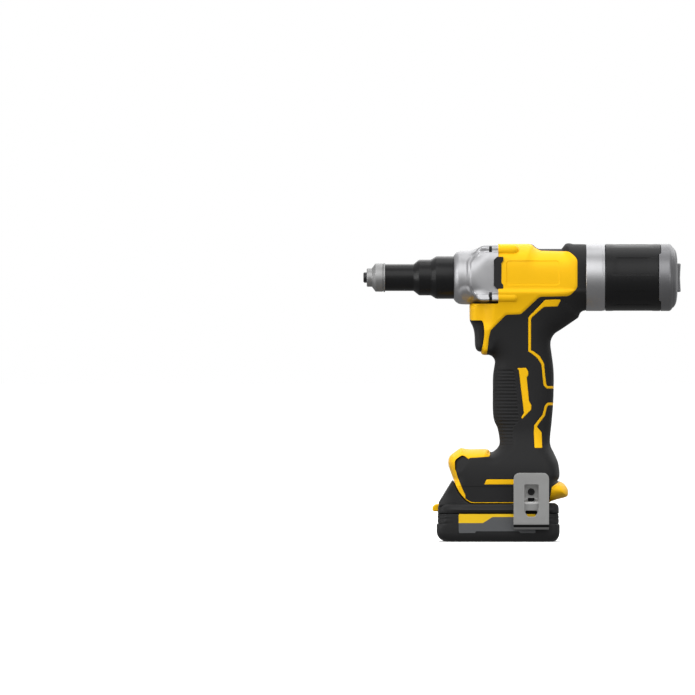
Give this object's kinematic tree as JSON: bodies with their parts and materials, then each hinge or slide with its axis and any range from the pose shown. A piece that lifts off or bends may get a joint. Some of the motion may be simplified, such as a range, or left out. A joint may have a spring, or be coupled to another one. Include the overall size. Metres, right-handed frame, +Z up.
{
  "type": "battery rivet tool",
  "caption": "Pistol-grip battery rivet tool with a stepped pulling nose, a mandrel collector behind, a belt hook and a slide-on battery pack that it stands on.",
  "frame": {"origin": "middle of the face that the battery pack stands on, in the plane where the housing halves meet and below the joint between gearcase and housing", "axes": "+Z up, nose along -X, collector along +X, the belt hook on the -Y side"},
  "size_m": [0.3015, 0.0846, 0.2831],
  "materials": {
    "bright_steel": "bright turned steel",
    "cast_alloy": "satin die-cast alloy",
    "black_steel": "black oxide finish",
    "yellow_shell": "moulded glass-filled nylon, fine spark texture",
    "black_grip": "soft overmould, fine spark texture",
    "black_plastic": "moulded black plastic",
    "grey_plastic": "moulded grey plastic",
    "tool_steel": "ground steel",
    "dark_screw": "black zinc screws",
    "hook_steel": "plated steel sheet",
    "brass": "turned brass",
    "copper": "varnished copper windings on laminations",
    "seal_rubber": "nitrile rubber",
    "lamp": "frosted clear lens",
    "board": "circuit board",
    "cell_film": "cell pouch film",
    "label_grey": "bare printed plate"
  },
  "bodies": {
    "tool": {"nosepiece": "bright_steel", "nose_cone": "bright_steel", "nose_sleeve": "black_steel", "base_collar": "black_steel", "gearcase": "cast_alloy", "gearcase_screws": "dark_screw", "thrust_bearing": "tool_steel", "nut_bearing": "tool_steel", "motor_stator": "copper", "motor_front_bearing": "tool_steel", "motor_rear_bearing": "tool_steel", "mandrel_tube": "bright_steel", "housing_left": "yellow_shell", "housing_right": "yellow_shell", "grip_left": "black_grip", "grip_right": "black_grip", "housing_screws": "dark_screw", "side_vents": "black_plastic", "trigger_switch": "black_plastic", "control_module": "grey_plastic", "terminal_block": "brass", "led_lens": "lamp", "belt_hook": "hook_steel", "hook_screw": "dark_screw", "hook_inserts": "brass", "collector_ring": "cast_alloy"},
    "draw": {"jaws": "tool_steel", "jaw_case": "tool_steel", "jaw_pusher": "tool_steel", "jaw_spring": "tool_steel", "draw_screw": "tool_steel", "turn_key": "tool_steel"},
    "nut": {"ball_nut": "tool_steel", "nut_gear": "tool_steel"},
    "rotor": {"motor_rotor": "tool_steel", "motor_fan": "black_plastic", "motor_pinion": "tool_steel"},
    "trigger": {"trigger": "black_plastic"},
    "seal": {"seal_ring": "seal_rubber"},
    "collector": {"collector_canister": "black_plastic", "collector_cap": "grey_plastic"},
    "pack": {"pack_base": "black_plastic", "pack_cover": "black_plastic", "pack_cells": "cell_film", "pack_board": "board", "pack_screws": "dark_screw", "pack_label": "label_grey"},
    "button": {"release_button": "yellow_shell"},
    "tongue": {"latch_tongue": "black_plastic"}
  },
  "joints": [
    {"name": "motor_spin", "type": "hinge", "parent": "tool", "child": "rotor", "pos_m": [0.03, 0, 0.2205], "axis": [1, 0, 0], "range_deg": [-20, 4340]},
    {"name": "nut_spin", "type": "hinge", "parent": "tool", "child": "nut", "pos_m": [0, 0, 0.2505], "axis": [1, 0, 0], "range_deg": [-1085, 5]},
    {"name": "jaw_pull", "type": "slide", "parent": "tool", "child": "draw", "axis": [1, 0, 0], "range_m": [0, 0.03]},
    {"name": "trigger_press", "type": "slide", "parent": "tool", "child": "trigger", "axis": [1, 0, 0], "range_m": [0, 0.006], "stiffness_N_per_m": 1500, "springref_m": -0.006},
    {"name": "collector_twist", "type": "hinge", "parent": "tool", "child": "seal", "pos_m": [0.1068, 0, 0.2505], "axis": [1, 0, 0], "range_deg": [0, 40]},
    {"name": "collector_pull", "type": "slide", "parent": "seal", "child": "collector", "axis": [1, 0, 0], "range_m": [0, 0.07]},
    {"name": "pack_slide", "type": "slide", "parent": "tool", "child": "pack", "axis": [-1, 0, 0], "range_m": [0, 0.085]},
    {"name": "button_press", "type": "slide", "parent": "pack", "child": "button", "axis": [1, 0, 0], "range_m": [0, 0.0035], "stiffness_N_per_m": 1200, "springref_m": -0.003},
    {"name": "tongue_drop", "type": "slide", "parent": "pack", "child": "tongue", "axis": [0, 0, -1], "range_m": [-0.00005, 0.00355]}
  ],
  "couplings": [
    {"joint": "nut_spin", "follows": "jaw_pull", "rad_per_m": -628.32},
    {"joint": "motor_spin", "follows": "jaw_pull", "rad_per_m": 2513.3},
    {"joint": "tongue_drop", "follows": "button_press", "ratio": 1}
  ]
}
